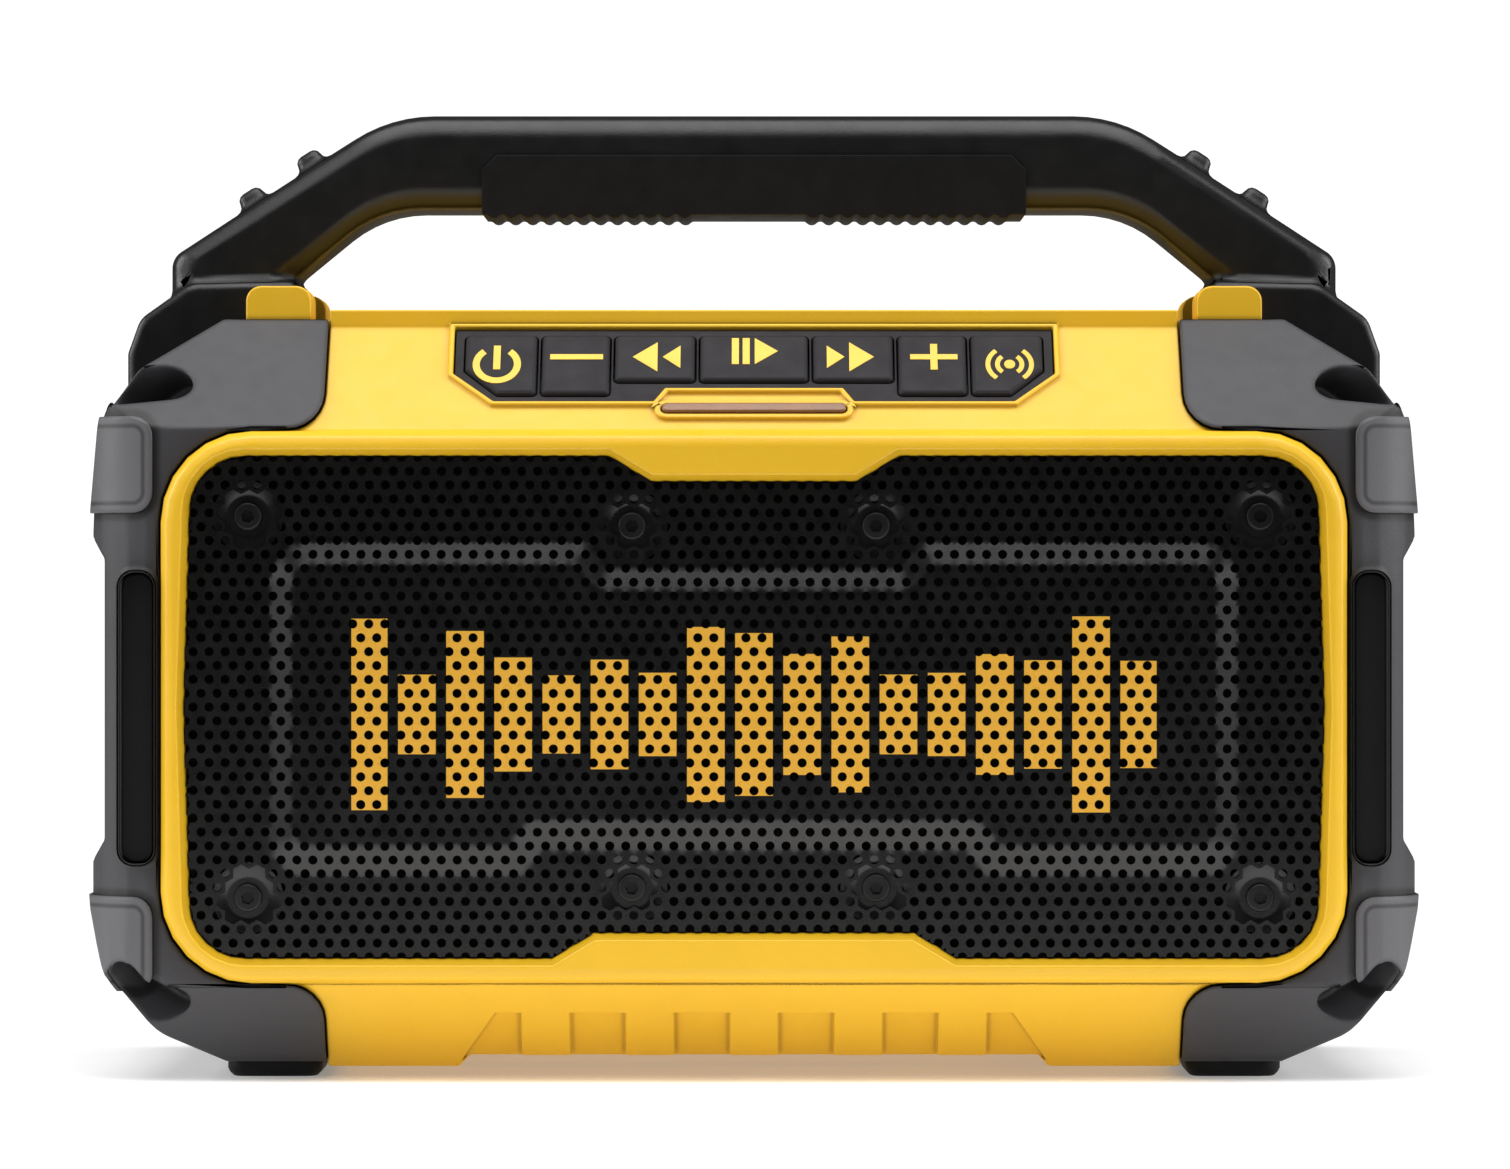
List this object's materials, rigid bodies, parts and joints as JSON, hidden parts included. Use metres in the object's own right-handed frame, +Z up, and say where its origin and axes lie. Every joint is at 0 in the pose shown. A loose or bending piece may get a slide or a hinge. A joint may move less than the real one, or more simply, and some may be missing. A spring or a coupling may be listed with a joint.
{
  "type": "jobsite speaker",
  "caption": "Rugged wireless jobsite speaker: boxy yellow housing, grey corner bumpers, black carrying handle, perforated front grille, sloped keypad and a rear bay for a slide-on battery.",
  "frame": {"origin": "on the floor plane, under the middle of the housing, midway between the four feet", "axes": "+X to the right seen from the front, the grille faces -Y, +Z up"},
  "size_m": [0.264, 0.1225, 0.1929],
  "materials": {
    "housing_yellow": "moulded, fine texture",
    "cap_grey": "soft overmould, matte",
    "pad_grey": "soft overmould, matte",
    "black_plastic": "moulded, fine texture",
    "black_rubber": "matte",
    "grille_black": "powder coat",
    "key_grey": "matte",
    "screw_black": "black oxide",
    "screw_steel": "zinc plated",
    "cloth_black": "open weave",
    "basket_black": "stamped and painted",
    "magnet_grey": "ground",
    "cone_black": "pressed fibre",
    "board_green": "solder resist",
    "lens_smoke": "translucent",
    "contact_brass": "tin flash"
  },
  "bodies": {
    "housing": {"front_housing": "housing_yellow", "rear_housing": "housing_yellow", "housing_seal": "black_rubber", "housing_screws": "screw_steel", "left_end_cap": "cap_grey", "right_end_cap": "cap_grey", "left_corner_pads": "pad_grey", "right_corner_pads": "pad_grey", "left_side_strips": "black_rubber", "right_side_strips": "black_rubber", "end_cap_screws": "screw_black", "feet": "black_rubber", "handle": "black_plastic", "handle_sleeve": "black_rubber", "handle_screws": "screw_steel", "grille": "grille_black", "grille_screws": "screw_black", "acoustic_cloth": "cloth_black", "baffle": "black_plastic", "left_basket": "basket_black", "left_magnet": "magnet_grey", "left_suspension": "black_rubber", "right_basket": "basket_black", "right_magnet": "magnet_grey", "right_suspension": "black_rubber", "driver_screws": "screw_steel", "keypad_bezel": "key_grey", "key_board": "board_green", "key_board_screws": "screw_steel", "status_lens": "lens_smoke", "main_board": "board_green", "main_board_screws": "screw_steel", "battery_dock": "black_plastic", "dock_screws": "screw_black", "terminal_block": "black_plastic", "terminal_blades": "contact_brass", "port_board": "board_green", "line_jack": "black_plastic", "power_jack": "black_plastic"},
    "power_key": {"power_key": "key_grey"},
    "volume_down_key": {"volume_down_key": "key_grey"},
    "back_key": {"back_key": "key_grey"},
    "play_key": {"play_key": "key_grey"},
    "forward_key": {"forward_key": "key_grey"},
    "volume_up_key": {"volume_up_key": "key_grey"},
    "pairing_key": {"pairing_key": "key_grey"},
    "left_cone": {"left_cone": "cone_black"},
    "right_cone": {"right_cone": "cone_black"},
    "port_cover": {"port_cover": "black_rubber"}
  },
  "joints": [
    {"name": "power_press", "type": "slide", "parent": "housing", "child": "power_key", "axis": [0, 0.6887, -0.725], "range_m": [0, 0.0008], "stiffness_N_per_m": 1500},
    {"name": "volume_down_press", "type": "slide", "parent": "housing", "child": "volume_down_key", "axis": [0, 0.6887, -0.725], "range_m": [0, 0.0008], "stiffness_N_per_m": 1500},
    {"name": "back_press", "type": "slide", "parent": "housing", "child": "back_key", "axis": [0, 0.6887, -0.725], "range_m": [0, 0.0008], "stiffness_N_per_m": 1500},
    {"name": "play_press", "type": "slide", "parent": "housing", "child": "play_key", "axis": [0, 0.6887, -0.725], "range_m": [0, 0.0008], "stiffness_N_per_m": 1500},
    {"name": "forward_press", "type": "slide", "parent": "housing", "child": "forward_key", "axis": [0, 0.6887, -0.725], "range_m": [0, 0.0008], "stiffness_N_per_m": 1500},
    {"name": "volume_up_press", "type": "slide", "parent": "housing", "child": "volume_up_key", "axis": [0, 0.6887, -0.725], "range_m": [0, 0.0008], "stiffness_N_per_m": 1500},
    {"name": "pairing_press", "type": "slide", "parent": "housing", "child": "pairing_key", "axis": [0, 0.6887, -0.725], "range_m": [0, 0.0008], "stiffness_N_per_m": 1500},
    {"name": "left_cone_stroke", "type": "slide", "parent": "housing", "child": "left_cone", "axis": [0, -1, 0], "range_m": [-0.0015, 0.0015], "stiffness_N_per_m": 1500, "deforming": ["left_suspension"]},
    {"name": "right_cone_stroke", "type": "slide", "parent": "housing", "child": "right_cone", "axis": [0, -1, 0], "range_m": [-0.0015, 0.0015], "stiffness_N_per_m": 1500, "deforming": ["right_suspension"]},
    {"name": "port_cover_hinge", "type": "hinge", "parent": "housing", "child": "port_cover", "pos_m": [0.062, 0.058, 0.0535], "axis": [-1, 0, 0], "range_deg": [0, 110]}
  ]
}
